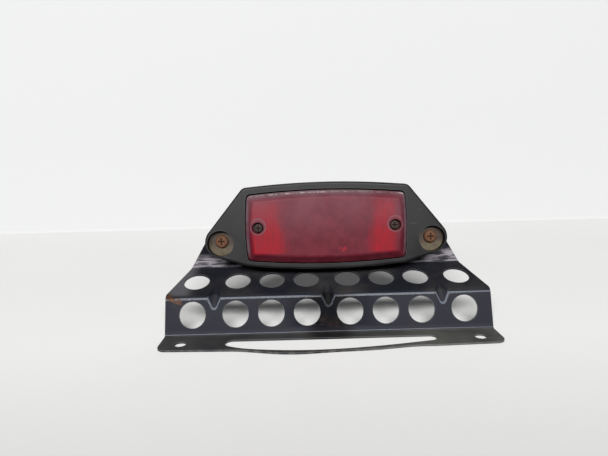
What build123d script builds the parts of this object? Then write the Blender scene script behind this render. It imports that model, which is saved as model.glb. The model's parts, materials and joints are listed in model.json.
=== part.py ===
"""Motorcycle tail light on a perforated, folded sheet-steel bracket.

Frame: millimetres, +Z up, -Y towards someone who looks at the red lens, +X to that person's right.
The origin is midway between the two fixing holes, on the underside of the bracket's front flange.
"""

import os
from math import cos, radians, sin, tan

from build123d import *

os.makedirs("parts", exist_ok=True)

# ---- Bracket: one folded sheet --------------------------------------------------------------
SHEET = 1.6  # sheet thickness
BEND_R = 1.8  # inner radius of the bends at the wall's foot and the shelf's rear
BROW_R = 6.0  # outer radius of the softer bend between wall and shelf
FIX_SPACING = 240.0  # between the two fixing holes of the flange
FIX_R = 4.85
FIX_TO_WALL = 16.7  # from the fixing holes back to the foot of the wall
BRACKET_HALF = 136.8  # half width of flange and wall
REAR_HALF = 122.6  # half width where the shelf meets the back plate
WALL_H, WALL_LEAN = 32.35, 17.6
SHELF_D, SHELF_RISE = 41.65, 20.35
PLATE_LEAN = 6.4
PLATE_H = 70.5
EAR_REACH = 27.6  # from the wall's foot forward to the flange's edge, at its ends
RIM_SHOULDER = 29.9  # the same where the bowed rim starts
RIM_REACH = 38.4  # and at the rim's furthest point
LIGHTENING_R = 11.0
LIGHTENING_X = (18.0, 48.0, 78.0, 114.0)  # the row is the same left and right
WALL_ROW, SHELF_ROW = 17.0, 20.9  # height up the wall, depth along the shelf
DART_X = (-96.0, 0.0, 96.0)
DART_DOWN, DART_BACK = 14.1, 16.6  # where a dart's valley leaves the wall and the shelf
DART_SLOPE = 44.5  # angle between a dart's flank and its middle plane
DART_VALLEY_R = 3.2
SOCKET_WINDOW_R = 13.0  # opening in the back plate for the bulb socket

# ---- Lamp: positions (u, v, w) are to the right, up the lamp's face, and out of it -----------
SCREW_UP = 26.1  # from the shelf's rear bend up to the mounting screws
STANDOFF = 29.5  # from the back plate out to the face of the lamp's ears
SCREW_U = 90.0
EAR_R = 13.6
RECESS_U, RECESS_V, RECESS_R, RECESS_D = 90.6, -1.6, 11.2, 10.6
BASE_D = 25.0  # depth of the base moulding
FACE_T, SKIRT_T = 3.0, 2.5
BASE_EDGE_R = 2.2
LENS_V = 11.3  # height of the lens's centre above the mounting screws
LENS_HALF_W, LENS_HALF_H = 66.2, 27.2  # to the corners
LENS_BOW_W, LENS_BOW_H = 1.4, 3.0  # how far the sides bulge past the corners
LENS_CORNER_R = 4.0
LENS_WALL = 2.4
LENS_FOOT, LENS_SHOULDER, LENS_FRONT = -6.2, 3.2, 10.2
LENS_INSET = 5.6  # from the outline to the edge of the front face
LENS_GAP = 1.3  # open joint between the lens and the base
LEDGE_W = -8.0  # the ledge that the gasket lies on
LEDGE_IN = 3.6  # from the lens's outline in to the ledge's inner edge
FLOOR_W = -22.5  # inside of the base's floor
LENS_SCREW_U = 57.2
WELL_R, WELL_FLOOR = 4.9, 3.4
POST_R, POST_TOP = 5.0, -3.0

# ---- Bulb and socket, on one axis through the lens's centre ---------------------------------
BULB_TIP = 4.5
GLASS_R, GLASS_T = 12.5, 0.7
NECK_R = 7.0
CAP_R, CAP_FRONT, CAP_REAR = 7.5, -26.0, -43.5
PIN_R, PIN_END = 1.0, 8.7
PIN_W = (-36.5, -33.5)  # the two pins sit at different depths
CONTACT_U = 2.9  # contacts left and right of the axis
CONTACT_END = -45.0
SHELL_IN, SHELL_OUT = 7.7, 8.6
SHELL_REAR = -56.0
FLANGE_R = 14.5
BULB_PUSH = 1.6  # how far the bulb goes in before it can turn
CARRIER_FRONT, CARRIER_T, CARRIER_R = -46.9, 2.6, 7.4
SPRING_R, SPRING_WIRE_R, SPRING_TURNS = 6.0, 0.35, 4
BOOT_R, BOOT_REAR = 10.4, -63.0

# ---- Reference points and planes -------------------------------------------------------------
RIGHT = Vector(1, 0, 0)
RISE = Vector(0, sin(radians(PLATE_LEAN)), cos(radians(PLATE_LEAN)))
OUT = Vector(0, -cos(radians(PLATE_LEAN)), sin(radians(PLATE_LEAN)))
WALL_UP = Vector(0, sin(radians(WALL_LEAN)), cos(radians(WALL_LEAN)))
SHELF_BACK = Vector(0, cos(radians(SHELF_RISE)), sin(radians(SHELF_RISE)))

foot = Vector(0, FIX_TO_WALL, SHEET)
brow = foot + WALL_UP * WALL_H
heel = brow + SHELF_BACK * SHELF_D
crest = heel + RISE * PLATE_H

flange_plane = Plane.XY
wall_plane = Plane(foot, x_dir=RIGHT, z_dir=RIGHT.cross(WALL_UP))
shelf_plane = Plane(brow, x_dir=RIGHT, z_dir=RIGHT.cross(SHELF_BACK))
lamp = Plane(heel + RISE * SCREW_UP + OUT * STANDOFF, x_dir=RIGHT, z_dir=OUT)

bulb_centre = lamp.origin + RISE * LENS_V
bulb_axis = Axis(bulb_centre, OUT)
bulb_section = Plane(bulb_centre, x_dir=RIGHT, z_dir=RIGHT.cross(OUT))


def both(u, v):
    """The same place on the left and on the right."""
    return [(-u, v), (u, v)]


def side_point(point):
    """A point in the sheet's side view, as (Y, Z)."""
    return (point.Y, point.Z)


def save(builder, name):
    builder.part.label = name
    export_step(builder.part, f"parts/{name}.step")


# ---- Profiles that several parts share -------------------------------------------------------
def base_outline(inset=0.0):
    """Trapezoid with bowed top and bottom, drawn out at both sides into round ears."""
    with BuildSketch() as outline:
        with BuildLine():
            FilletPolyline(
                (-70.5, 45.5), (0, 51.4), (70.5, 45.5), (113.4, -7.7),
                (66.0, -22.0), (0, -27.6), (-66.0, -22.0), (-113.4, -7.7),
                radius=[7, 650, 7, EAR_R, 40, 580, 40, EAR_R],
                close=True,
            )  # fmt: skip
        make_face()
        if inset:
            offset(amount=-inset)
    return outline.sketch


def lens_outline(grow=0.0, corner=LENS_CORNER_R):
    """Rectangle whose four sides bulge, each moved out by grow."""
    w, h = LENS_HALF_W + grow, LENS_HALF_H + grow
    # Arcs that take up this share of each half side, next to the corner's own arc.
    side_r, top_r = 0.78 * h**2 / (2 * LENS_BOW_W), 0.85 * w**2 / (2 * LENS_BOW_H)
    with BuildSketch() as outline:
        with BuildLine():
            FilletPolyline(
                (-w, LENS_V + h), (0, LENS_V + h + 2 * LENS_BOW_H), (w, LENS_V + h),
                (w + 2 * LENS_BOW_W, LENS_V), (w, LENS_V - h), (0, LENS_V - h - 2 * LENS_BOW_H),
                (-w, LENS_V - h), (-w - 2 * LENS_BOW_W, LENS_V),
                radius=[corner, top_r, corner, side_r] * 2,
                close=True,
            )  # fmt: skip
        make_face()
    return outline.sketch


def dart_section(depth):
    """Round-bottomed V across a dart's valley, sunk by depth below the finished surface."""
    reach = 14.0
    flank = radians(DART_SLOPE)
    low = -depth / sin(flank)
    with BuildSketch() as section:
        with BuildLine():
            FilletPolyline(
                (-(reach - low) * tan(flank), reach), (0, low), ((reach - low) * tan(flank), reach),
                radius=DART_VALLEY_R + depth,
            )  # fmt: skip
            Line((-(reach - low) * tan(flank), reach), ((reach - low) * tan(flank), reach))
        make_face()
    return section.sketch


def cross_recess(length, width):
    with BuildSketch() as cross:
        Rectangle(length, width)
        Rectangle(width, length)
    return cross.sketch


def turned(points):
    """Closed profile through (radius, w) points, ready to revolve about the bulb's axis."""
    with BuildSketch() as profile:
        with BuildLine():
            Polyline(*points, close=True)
        make_face()
    return profile.sketch


# ---- bracket ---------------------------------------------------------------------------------
valley_low = brow - WALL_UP * DART_DOWN
valley_high = brow + SHELF_BACK * DART_BACK
valley = (valley_high - valley_low).normalized()
dart_plane = Plane((valley_low + valley_high) * 0.5, x_dir=RIGHT, z_dir=valley * -1)

# One dart's pressed wall: what lies between the two V surfaces, under the sheet's outer skin.
with BuildPart() as dart_wall:
    with BuildSketch(Plane.YZ):
        with BuildLine():
            FilletPolyline(
                side_point(foot), side_point(brow), side_point(heel), radius=BROW_R
            )
            Line(side_point(heel), side_point(foot))
        make_face()
    extrude(amount=20, both=True)
    with BuildSketch(dart_plane):
        add(dart_section(SHEET))
    extrude(amount=30, both=True, mode=Mode.INTERSECT)
    with BuildSketch(dart_plane):
        add(dart_section(0.0))
    extrude(amount=30, both=True, mode=Mode.SUBTRACT)

with BuildPart() as bracket:
    # The folded sheet, full width.
    with BuildSketch(Plane.YZ.offset(-BRACKET_HALF)):
        with BuildLine():
            skin = FilletPolyline(
                (FIX_TO_WALL - RIM_REACH, SHEET), side_point(foot), side_point(brow),
                side_point(heel), side_point(crest),
                radius=[BEND_R, BROW_R, BEND_R],
            )  # fmt: skip
            offset(skin, amount=SHEET, side=Side.RIGHT)
        make_face()
    extrude(amount=2 * BRACKET_HALF)

    # Darts.
    with Locations([(x, 0, 0) for x in DART_X]):
        add(extrude(dart_plane * dart_section(SHEET), amount=30, both=True, mode=Mode.PRIVATE),
            mode=Mode.SUBTRACT)  # fmt: skip
        add(dart_wall.part)

    # Plan outline: flange with round-cornered ends, bowed front rim, shelf tapering to the back plate.
    with BuildSketch(Plane.XY):
        with BuildLine():
            ear_y = FIX_TO_WALL - EAR_REACH
            shoulder_y = FIX_TO_WALL - RIM_SHOULDER
            taper_y = brow.Y + 3.2
            FilletPolyline(
                (-80, shoulder_y), (-BRACKET_HALF, ear_y), (-BRACKET_HALF, taper_y),
                (-REAR_HALF, heel.Y), (-REAR_HALF, crest.Y + 5), (REAR_HALF, crest.Y + 5),
                (REAR_HALF, heel.Y), (BRACKET_HALF, taper_y), (BRACKET_HALF, ear_y),
                (80, shoulder_y),
                radius=[8, 4, 0, 0, 0, 0, 4, 8],
            )  # fmt: skip
            Spline(
                (-80, shoulder_y), (-66, -15), (-44, -20), (-27, FIX_TO_WALL - RIM_REACH),
                (1, -19.6), (38, -17), (60, -13.8), (80, shoulder_y),
            )  # fmt: skip
        make_face()
    extrude(amount=crest.Z + 5, mode=Mode.INTERSECT)

    # Back plate outline, kept inside the lamp's own outline.
    with BuildSketch(lamp):
        with BuildLine():
            low, bend_v, top_v = -SCREW_UP - 90, -SCREW_UP, PLATE_H - SCREW_UP
            FilletPolyline(
                (-150, low), (-150, bend_v), (-REAR_HALF, bend_v), (-109.3, bend_v + 23.2),
                (-103, 4), (-67, top_v), (67, top_v), (103, 4), (109.3, bend_v + 23.2),
                (REAR_HALF, bend_v), (150, bend_v), (150, low),
                radius=[0, 0, 0, 6, 12, 8, 8, 12, 6, 0, 0, 0],
                close=True,
            )  # fmt: skip
        make_face()
    extrude(amount=150, both=True, mode=Mode.INTERSECT)

    # Fixing holes and the long slot behind the bowed rim.
    with BuildSketch(flange_plane):
        with Locations(both(FIX_SPACING / 2, 0)):
            Circle(FIX_R)
        with BuildLine():
            slot_back_y = FIX_TO_WALL - 10.8
            Line((-78, slot_back_y), (79.5, slot_back_y))
            ThreePointArc((79.5, slot_back_y), (85.2, 0.5), (81, -4.7))
            Spline((81, -4.7), (37, -12.9), (-16, -17.4), (-55, -14.1), (-71, -10.4), (-80.4, -6.4))
            ThreePointArc((-80.4, -6.4), (-84.4, -0.5), (-78, slot_back_y))
        make_face()
    extrude(amount=SHEET * 2, mode=Mode.SUBTRACT)

    # Lightening holes.
    row = [(side * x, 0) for x in LIGHTENING_X for side in (-1, 1)]
    with BuildSketch(wall_plane):
        with Locations([(x, WALL_ROW) for x, _ in row]):
            Circle(LIGHTENING_R)
    extrude(amount=4, both=True, mode=Mode.SUBTRACT)
    with BuildSketch(shelf_plane):
        with Locations([(x, SHELF_ROW) for x, _ in row]):
            Circle(LIGHTENING_R)
    extrude(amount=4, both=True, mode=Mode.SUBTRACT)

    # Back plate: screw holes and the socket's window.
    with BuildSketch(lamp.offset(-STANDOFF)):
        with Locations(both(SCREW_U, 0)):
            Circle(3.4)
        with Locations((0, LENS_V)):
            Circle(SOCKET_WINDOW_R)
    extrude(amount=4, both=True, mode=Mode.SUBTRACT)

    # Round the darts' rims, where their flanks meet the sheet's outer skin.
    def on_rim(edge):
        place = edge.center()
        from_dart = min(abs(place.X - x) for x in DART_X)
        above_skin = max((place - foot).dot(wall_plane.z_dir), (place - brow).dot(shelf_plane.z_dir))
        near = from_dart < 7.2 and place.Y - brow.Y < DART_BACK / 2
        return near and above_skin > -0.4 and edge.length < DART_BACK

    fillet(bracket.edges().filter_by(on_rim), radius=1.5)
save(bracket, "bracket")

# ---- lamp_housing ----------------------------------------------------------------------------
with BuildPart() as lamp_housing:
    with BuildSketch(lamp):
        add(base_outline())
    extrude(amount=-BASE_D)
    fillet(lamp_housing.faces().sort_by(Axis(lamp.origin, OUT))[-1].edges(), radius=BASE_EDGE_R)
    # Open back: hollow around the lamp box and the two ear bosses, with ribs left standing.
    with BuildSketch(lamp.offset(-FACE_T)):
        add(base_outline(SKIRT_T))
        add(lens_outline(5.6), mode=Mode.SUBTRACT)
        with Locations(both(RECESS_U, RECESS_V)):
            Circle(EAR_R - 0.2, mode=Mode.SUBTRACT)
        with Locations(both(80.0, 12.0)):
            Rectangle(1.8, 80, mode=Mode.SUBTRACT)
        with Locations(both(85.0, 15.0)):
            Rectangle(40, 1.8, mode=Mode.SUBTRACT)
    extrude(amount=-BASE_D, mode=Mode.SUBTRACT)
    # Lamp box: lens pocket down to the gasket ledge, then the deeper chamber.
    with BuildSketch(lamp):
        add(lens_outline(LENS_GAP))
    extrude(amount=LEDGE_W, mode=Mode.SUBTRACT)
    with BuildSketch(lamp.offset(LEDGE_W)):
        add(lens_outline(-LEDGE_IN))
        with Locations(both(LENS_SCREW_U, LENS_V)):
            Circle(POST_R, mode=Mode.SUBTRACT)
    extrude(amount=FLOOR_W - LEDGE_W, mode=Mode.SUBTRACT)
    # Screw posts stand above the ledge, with a blind hole for the insert.
    with BuildSketch(lamp.offset(LEDGE_W)):
        with Locations(both(LENS_SCREW_U, LENS_V)):
            Circle(POST_R)
    extrude(amount=POST_TOP - LEDGE_W)
    with BuildSketch(lamp.offset(POST_TOP)):
        with Locations(both(LENS_SCREW_U, LENS_V)):
            Circle(2.95)
    extrude(amount=-10, mode=Mode.SUBTRACT)
    # Floor: the socket's opening and its two rivet holes.
    with BuildSketch(lamp.offset(FLOOR_W)):
        with Locations((0, LENS_V)):
            Circle(SHELL_OUT + 0.3)
        with Locations((-11.5, LENS_V), (11.5, LENS_V)):
            Circle(1.3)
    extrude(amount=-6, mode=Mode.SUBTRACT)
    # Ears: counterbore from the front, then the hole for the rubber damper.
    with BuildSketch(lamp):
        with Locations(both(RECESS_U, RECESS_V)):
            Circle(RECESS_R)
    extrude(amount=-RECESS_D, mode=Mode.SUBTRACT)
    with BuildSketch(lamp.offset(-RECESS_D)):
        with Locations(both(RECESS_U, RECESS_V)):
            Circle(7.3)
    extrude(amount=-BASE_D, mode=Mode.SUBTRACT)
save(lamp_housing, "lamp_housing")

# ---- lens ------------------------------------------------------------------------------------
def lens_block(wall, corner, front_corner):
    """The lens's outer form, or with a wall its hollow: straight sides, then a bevel to the front."""
    with BuildPart() as block:
        with BuildSketch(lamp.offset(LENS_FOOT)):
            add(lens_outline(-wall, corner))
        extrude(amount=LENS_SHOULDER - LENS_FOOT)
        with BuildSketch(lamp.offset(LENS_SHOULDER)):
            add(lens_outline(-wall, corner))
        with BuildSketch(lamp.offset(LENS_FRONT - wall)):
            add(lens_outline(-wall - LENS_INSET, front_corner))
        loft(ruled=True)
    return block


outer_form = lens_block(0.0, LENS_CORNER_R, 2.0)
hollow_form = lens_block(LENS_WALL, LENS_CORNER_R - 1.5, 1.0)

with BuildPart() as lens:
    add(outer_form.part)
    fillet(lens.faces().sort_by(Axis(lamp.origin, OUT))[-1].edges(), radius=3.0)
    add(hollow_form.part, mode=Mode.SUBTRACT)
    # Screw pillars inside, wells outside.
    with BuildSketch(lamp.offset(POST_TOP + 0.2)):
        with Locations(both(LENS_SCREW_U, LENS_V)):
            Circle(WELL_R + 1.6)
    extrude(amount=LENS_FRONT - 1.2 - POST_TOP)
    with BuildSketch(lamp.offset(WELL_FLOOR)):
        with Locations(both(LENS_SCREW_U, LENS_V)):
            Circle(WELL_R)
    extrude(amount=10, mode=Mode.SUBTRACT)
    with BuildSketch(lamp.offset(POST_TOP)):
        with Locations(both(LENS_SCREW_U, LENS_V)):
            Circle(2.3)
    extrude(amount=10, mode=Mode.SUBTRACT)
save(lens, "lens")

# ---- lens_gasket -----------------------------------------------------------------------------
with BuildPart() as lens_gasket:
    with BuildSketch(lamp.offset(LEDGE_W)):
        add(lens_outline())
        add(lens_outline(-LENS_WALL), mode=Mode.SUBTRACT)
    extrude(amount=LENS_FOOT - LEDGE_W)
save(lens_gasket, "lens_gasket")


# ---- Screws, washers and inserts -------------------------------------------------------------
def pan_screws(places, seat_w, head_r, head_h, shank_r, tip_w, cross, cross_w):
    """Pan-head screws with a cross recess, heads resting on seat_w, tips at tip_w."""
    with BuildPart() as screws:
        with BuildSketch(lamp.offset(seat_w)):
            with Locations(places):
                Circle(head_r)
        extrude(amount=head_h)
        tops = screws.faces().group_by(Axis(lamp.origin, OUT))[-1]
        fillet(tops.edges(), radius=head_h * 0.55)
        with BuildSketch(lamp.offset(seat_w)):
            with Locations(places):
                Circle(shank_r)
        extrude(amount=tip_w - seat_w)
        tips = screws.faces().group_by(Axis(lamp.origin, OUT))[0]
        chamfer(tips.edges(), length=shank_r * 0.25)
        with BuildSketch(lamp.offset(seat_w + head_h)):
            with Locations(places):
                add(cross_recess(cross, cross_w))
        extrude(amount=-head_h * 0.62, taper=14, mode=Mode.SUBTRACT)
    return screws


def rings(places, low_w, high_w, outer_r, inner_r):
    """Plain rings between two heights above the lamp's face plane."""
    with BuildPart() as made:
        with BuildSketch(lamp.offset(low_w)):
            with Locations(places):
                Circle(outer_r)
                Circle(inner_r, mode=Mode.SUBTRACT)
        extrude(amount=high_w - low_w)
    return made


lens_places = both(LENS_SCREW_U, LENS_V)
mount_places = both(SCREW_U, 0)
recess_places = both(RECESS_U, RECESS_V)

SEAL_T = 0.9
save(rings(lens_places, WELL_FLOOR, WELL_FLOOR + SEAL_T, 4.3, 2.15), "lens_screw_seals")
save(rings(lens_places, POST_TOP - 9.0, POST_TOP, 2.9, 2.05), "lens_screw_inserts")
lens_screws = pan_screws(lens_places, WELL_FLOOR + SEAL_T, 3.9, 2.7, 2.0, POST_TOP - 8.0, 4.3, 0.9)
save(lens_screws, "lens_screws")

GROMMET_FACE = 2.0  # thickness of the damper's front flange
WASHER_T = 1.6
washer_low = -RECESS_D + GROMMET_FACE
washer_top = washer_low + WASHER_T
COLLAR_OUT, COLLAR_IN = 4.5, 3.3

mounting_screws = pan_screws(mount_places, washer_top, 5.5, 3.7, 3.0, -40.5, 6.0, 1.3)
save(mounting_screws, "mounting_screws")
save(rings(mount_places, -STANDOFF, washer_top, COLLAR_OUT, COLLAR_IN), "mounting_collars")

with BuildPart() as mounting_washers:
    with BuildSketch(lamp.offset(washer_low)):
        with Locations(recess_places):
            Circle(RECESS_R - 0.3)
        with Locations(mount_places):
            Circle(COLLAR_OUT + 0.1, mode=Mode.SUBTRACT)
    extrude(amount=WASHER_T)
save(mounting_washers, "mounting_washers")

with BuildPart() as mounting_grommets:
    for low_w, high_w, radius in (
        (-RECESS_D, washer_low, RECESS_R - 0.3),
        (-BASE_D, -RECESS_D, 7.2),
        (-STANDOFF, -BASE_D, 11.5),
    ):
        with BuildSketch(lamp.offset(low_w)):
            with Locations(recess_places):
                Circle(radius)
            with Locations(mount_places):
                Circle(COLLAR_OUT + 0.1, mode=Mode.SUBTRACT)
        extrude(amount=high_w - low_w)
save(mounting_grommets, "mounting_grommets")

NUT_H = 6.0
nut_low = -STANDOFF - SHEET - NUT_H
with BuildPart() as mounting_nuts:
    with BuildSketch(lamp.offset(nut_low)):
        with Locations(mount_places):
            RegularPolygon(5.0, 6, major_radius=False)
            Circle(3.05, mode=Mode.SUBTRACT)
    extrude(amount=NUT_H)
    with BuildSketch(lamp.offset(nut_low + NUT_H - 1.3)):
        with Locations(mount_places):
            Circle(6.8)
            Circle(3.05, mode=Mode.SUBTRACT)
    extrude(amount=1.3)
save(mounting_nuts, "mounting_nuts")

# ---- reflector -------------------------------------------------------------------------------
BOWL_HALF_W, BOWL_HALF_H = 41.0, 22.0
WING_W, WING_T = -5.6, 1.2  # the wings' front face, and the thickness all over
BOWL_BOTTOM = -21.4
BOWL_DRAFT = 20
SHELL_CLEAR = 14.0

with BuildPart() as reflector:
    with BuildSketch(lamp.offset(WING_W)):
        add(lens_outline(-LEDGE_IN - 0.6))
        with Locations(lens_places):
            Circle(WELL_R + 2.2, mode=Mode.SUBTRACT)
    extrude(amount=-WING_T)
    with BuildSketch(lamp.offset(WING_W)):
        with Locations((0, LENS_V)):
            RectangleRounded(2 * BOWL_HALF_W, 2 * BOWL_HALF_H, 8)
    extrude(amount=BOWL_BOTTOM - WING_W, taper=BOWL_DRAFT)
    with BuildSketch(lamp.offset(WING_W)):
        with Locations((0, LENS_V)):
            RectangleRounded(2 * (BOWL_HALF_W - WING_T), 2 * (BOWL_HALF_H - WING_T), 7)
    extrude(amount=BOWL_BOTTOM + WING_T - WING_W, taper=BOWL_DRAFT, mode=Mode.SUBTRACT)
    with BuildSketch(lamp):
        with Locations((0, LENS_V)):
            Circle(SHELL_CLEAR)
    extrude(amount=2 * BOWL_BOTTOM, mode=Mode.SUBTRACT)
save(reflector, "reflector")

# ---- Socket ----------------------------------------------------------------------------------
slot_half = PIN_R + 0.15
TURN = 24.0  # the quarter-turn's angle

with BuildPart() as socket_shell:
    with BuildSketch(bulb_section):
        add(turned([
            (SHELL_IN, FLOOR_W + 0.8), (FLANGE_R, FLOOR_W + 0.8), (FLANGE_R, FLOOR_W),
            (SHELL_OUT, FLOOR_W), (SHELL_OUT, SHELL_REAR), (5.2, SHELL_REAR),
            (5.2, SHELL_REAR + 0.8), (SHELL_IN, SHELL_REAR + 0.8),
        ]))  # fmt: skip
    revolve(axis=bulb_axis)
    # J slots: down from the mouth, across, and a little back up to the seat.
    for pin_w, facing in zip(PIN_W, (0, 180)):
        seat_low, seat_high = pin_w - BULB_PUSH - slot_half, pin_w + slot_half
        for angle, low_w, high_w in (
            (facing, seat_low, seat_high),
            (facing + TURN, seat_low, FLOOR_W + 2),
        ):
            with BuildSketch(Plane(bulb_centre, x_dir=RIGHT, z_dir=OUT).offset(low_w)):
                with Locations(Location((0, 0, 0), (0, 0, angle))):
                    with Locations((SHELL_OUT, 0)):
                        Rectangle(4, 2 * slot_half)
            extrude(amount=high_w - low_w, mode=Mode.SUBTRACT)
        start = bulb_section.rotated((0, facing, 0))
        with BuildSketch(start):
            with Locations((SHELL_OUT, seat_low + slot_half)):
                Rectangle(4, 2 * slot_half)
        revolve(axis=bulb_axis, revolution_arc=TURN, mode=Mode.SUBTRACT)
    with BuildSketch(lamp.offset(FLOOR_W)):
        with Locations((-11.5, LENS_V), (11.5, LENS_V)):
            Circle(1.3)
    extrude(amount=2, mode=Mode.SUBTRACT)
save(socket_shell, "socket_shell")

TAB_T = 0.6
floor_back = -BASE_D
with BuildPart() as earth_tab:
    with BuildSketch(lamp.offset(floor_back)):
        with Locations((11.5, LENS_V)):
            Circle(2.7)
        with Locations((17.5, LENS_V)):
            Rectangle(12, 4)
        with Locations((11.5, LENS_V)):
            Circle(1.3, mode=Mode.SUBTRACT)
    extrude(amount=-TAB_T)
save(earth_tab, "earth_tab")

with BuildPart() as socket_rivets:
    for u, tail_w in ((-11.5, floor_back), (11.5, floor_back - TAB_T)):
        for low_w, high_w, radius in (
            (FLOOR_W + 0.8, FLOOR_W + 1.8, 2.2),
            (tail_w, FLOOR_W + 0.8, 1.25),
            (tail_w - 1.0, tail_w, 2.2),
        ):
            with BuildSketch(lamp.offset(low_w)):
                with Locations((u, LENS_V)):
                    Circle(radius)
            extrude(amount=high_w - low_w)
save(socket_rivets, "socket_rivets")

with BuildPart() as socket_boot:
    inside = SHELL_OUT + 0.02
    with BuildSketch(bulb_section):
        add(turned([
            (inside, -44.0), (BOOT_R, -44.0), (BOOT_R, -55.0), (BOOT_R - 3.5, BOOT_REAR),
            (0, BOOT_REAR), (0, SHELL_REAR - 4.0), (5.0, SHELL_REAR - 4.0), (5.0, SHELL_REAR),
            (inside, SHELL_REAR),
        ]))  # fmt: skip
    revolve(axis=bulb_axis)
    with BuildSketch(lamp.offset(BOOT_REAR)):
        with Locations((0, LENS_V)):
            with PolarLocations(3.4, 3, start_angle=90):
                Circle(1.2)
    extrude(amount=6, mode=Mode.SUBTRACT)
save(socket_boot, "socket_boot")

# ---- Bulb ------------------------------------------------------------------------------------
glass_mid = BULB_TIP - GLASS_R


def glass_profile(shrink):
    """Half outline of the glass: a ball drawn down into a neck."""
    ball, neck = GLASS_R - shrink, NECK_R - shrink
    with BuildSketch() as profile:
        with BuildLine():
            Line((0, CAP_FRONT + shrink), (neck, CAP_FRONT + shrink))
            Line((neck, CAP_FRONT + shrink), (neck, glass_mid - 12.5))
            Spline(
                (neck, glass_mid - 12.5), (ball * 0.8, glass_mid - ball * 0.6), (ball, glass_mid),
                tangents=[(0, 1), (0, 1)],
            )  # fmt: skip
            ThreePointArc(
                (ball, glass_mid),
                (ball * cos(radians(45)), glass_mid + ball * sin(radians(45))),
                (0, glass_mid + ball),
            )
            Line((0, glass_mid + ball), (0, CAP_FRONT + shrink))
        make_face()
    return profile.sketch


with BuildPart() as bulb_glass:
    with BuildSketch(bulb_section):
        add(glass_profile(0.0))
    revolve(axis=bulb_axis)
    with BuildSketch(bulb_section):
        add(glass_profile(GLASS_T))
    revolve(axis=bulb_axis, mode=Mode.SUBTRACT)
save(bulb_glass, "bulb_glass")

with BuildPart() as bulb_base:
    with BuildSketch(bulb_section):
        add(turned([
            (0, CAP_FRONT), (NECK_R + 0.05, CAP_FRONT), (NECK_R + 0.05, CAP_FRONT + 2.5),
            (CAP_R, CAP_FRONT + 2.5), (CAP_R, CAP_REAR), (CAP_R - 0.9, CAP_REAR),
            (CAP_R - 0.9, CAP_FRONT - 0.8), (0, CAP_FRONT - 0.8),
        ]))  # fmt: skip
    revolve(axis=bulb_axis)
save(bulb_base, "bulb_base")

with BuildPart() as bulb_insulator:
    with BuildSketch(bulb_section):
        add(turned([
            (0, CAP_REAR + 3.0), (CAP_R - 0.9, CAP_REAR + 3.0), (CAP_R - 0.9, CAP_REAR - 0.4),
            (0, CAP_REAR - 0.4),
        ]))  # fmt: skip
    revolve(axis=bulb_axis)
save(bulb_insulator, "bulb_insulator")

with BuildPart() as bulb_contacts:
    with BuildSketch(lamp.offset(CAP_REAR - 0.4)):
        with Locations((-CONTACT_U, LENS_V), (CONTACT_U, LENS_V)):
            Circle(1.7)
    extrude(amount=CONTACT_END - CAP_REAR + 0.4)
    solder_ends = bulb_contacts.faces().group_by(Axis(lamp.origin, OUT))[0]
    fillet(solder_ends.edges(), radius=0.7)
save(bulb_contacts, "bulb_contacts")

with BuildPart() as bulb_pins:
    for pin_w, side in zip(PIN_W, (1, -1)):
        centre = bulb_centre + OUT * pin_w + RIGHT * (side * CAP_R)
        with BuildSketch(Plane(centre, x_dir=OUT, z_dir=RIGHT * side)):
            Circle(PIN_R)
        extrude(amount=PIN_END - CAP_R)
save(bulb_pins, "bulb_pins")

STEM_TOP = glass_mid - 9.0
with BuildPart() as bulb_stem:
    with BuildSketch(bulb_section):
        add(turned([
            (0, CAP_FRONT + GLASS_T), (4.6, CAP_FRONT + GLASS_T), (2.2, STEM_TOP - 2),
            (2.2, STEM_TOP), (0, STEM_TOP),
        ]))  # fmt: skip
    revolve(axis=bulb_axis)
save(bulb_stem, "bulb_stem")

# Two straight coils across the axis, each carried by two wires that rise from the stem.
COIL_R, WIRE_R, COIL_HALF = 0.55, 0.25, 3.2
with BuildPart() as bulb_filaments:
    for coil_v, coil_w in ((1.2, glass_mid + 0.5), (-1.2, glass_mid - 3.5)):
        left = bulb_centre + RISE * coil_v + OUT * coil_w - RIGHT * COIL_HALF
        with BuildSketch(Plane(left, x_dir=OUT, z_dir=RIGHT)):
            Circle(COIL_R)
        extrude(amount=2 * COIL_HALF)
        for side in (-1, 1):
            with BuildLine():
                top = bulb_centre + RISE * coil_v + OUT * coil_w + RIGHT * (side * COIL_HALF)
                bottom = bulb_centre + RISE * coil_v + OUT * (STEM_TOP + 0.2) + RIGHT * (side * 1.0)
                lead = Line(bottom, top)
            with BuildSketch(Plane(lead @ 0, z_dir=lead % 0)):
                Circle(WIRE_R)
            sweep(path=lead)
save(bulb_filaments, "bulb_filaments")

# ---- Contact carrier, plungers and spring ----------------------------------------------------
with BuildPart() as contact_carrier:
    with BuildSketch(lamp.offset(CARRIER_FRONT)):
        with Locations((0, LENS_V)):
            Circle(CARRIER_R)
        with Locations((-CONTACT_U, LENS_V), (CONTACT_U, LENS_V)):
            Circle(1.05, mode=Mode.SUBTRACT)
    extrude(amount=-CARRIER_T)
save(contact_carrier, "contact_carrier")

with BuildPart() as contact_plungers:
    for low_w, high_w, radius in (
        (CARRIER_FRONT, CONTACT_END - 0.3, 1.9),
        (CARRIER_FRONT - CARRIER_T - 2.5, CARRIER_FRONT, 1.0),
    ):
        with BuildSketch(lamp.offset(low_w)):
            with Locations((-CONTACT_U, LENS_V), (CONTACT_U, LENS_V)):
                Circle(radius)
        extrude(amount=high_w - low_w)
save(contact_plungers, "contact_plungers")

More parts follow.
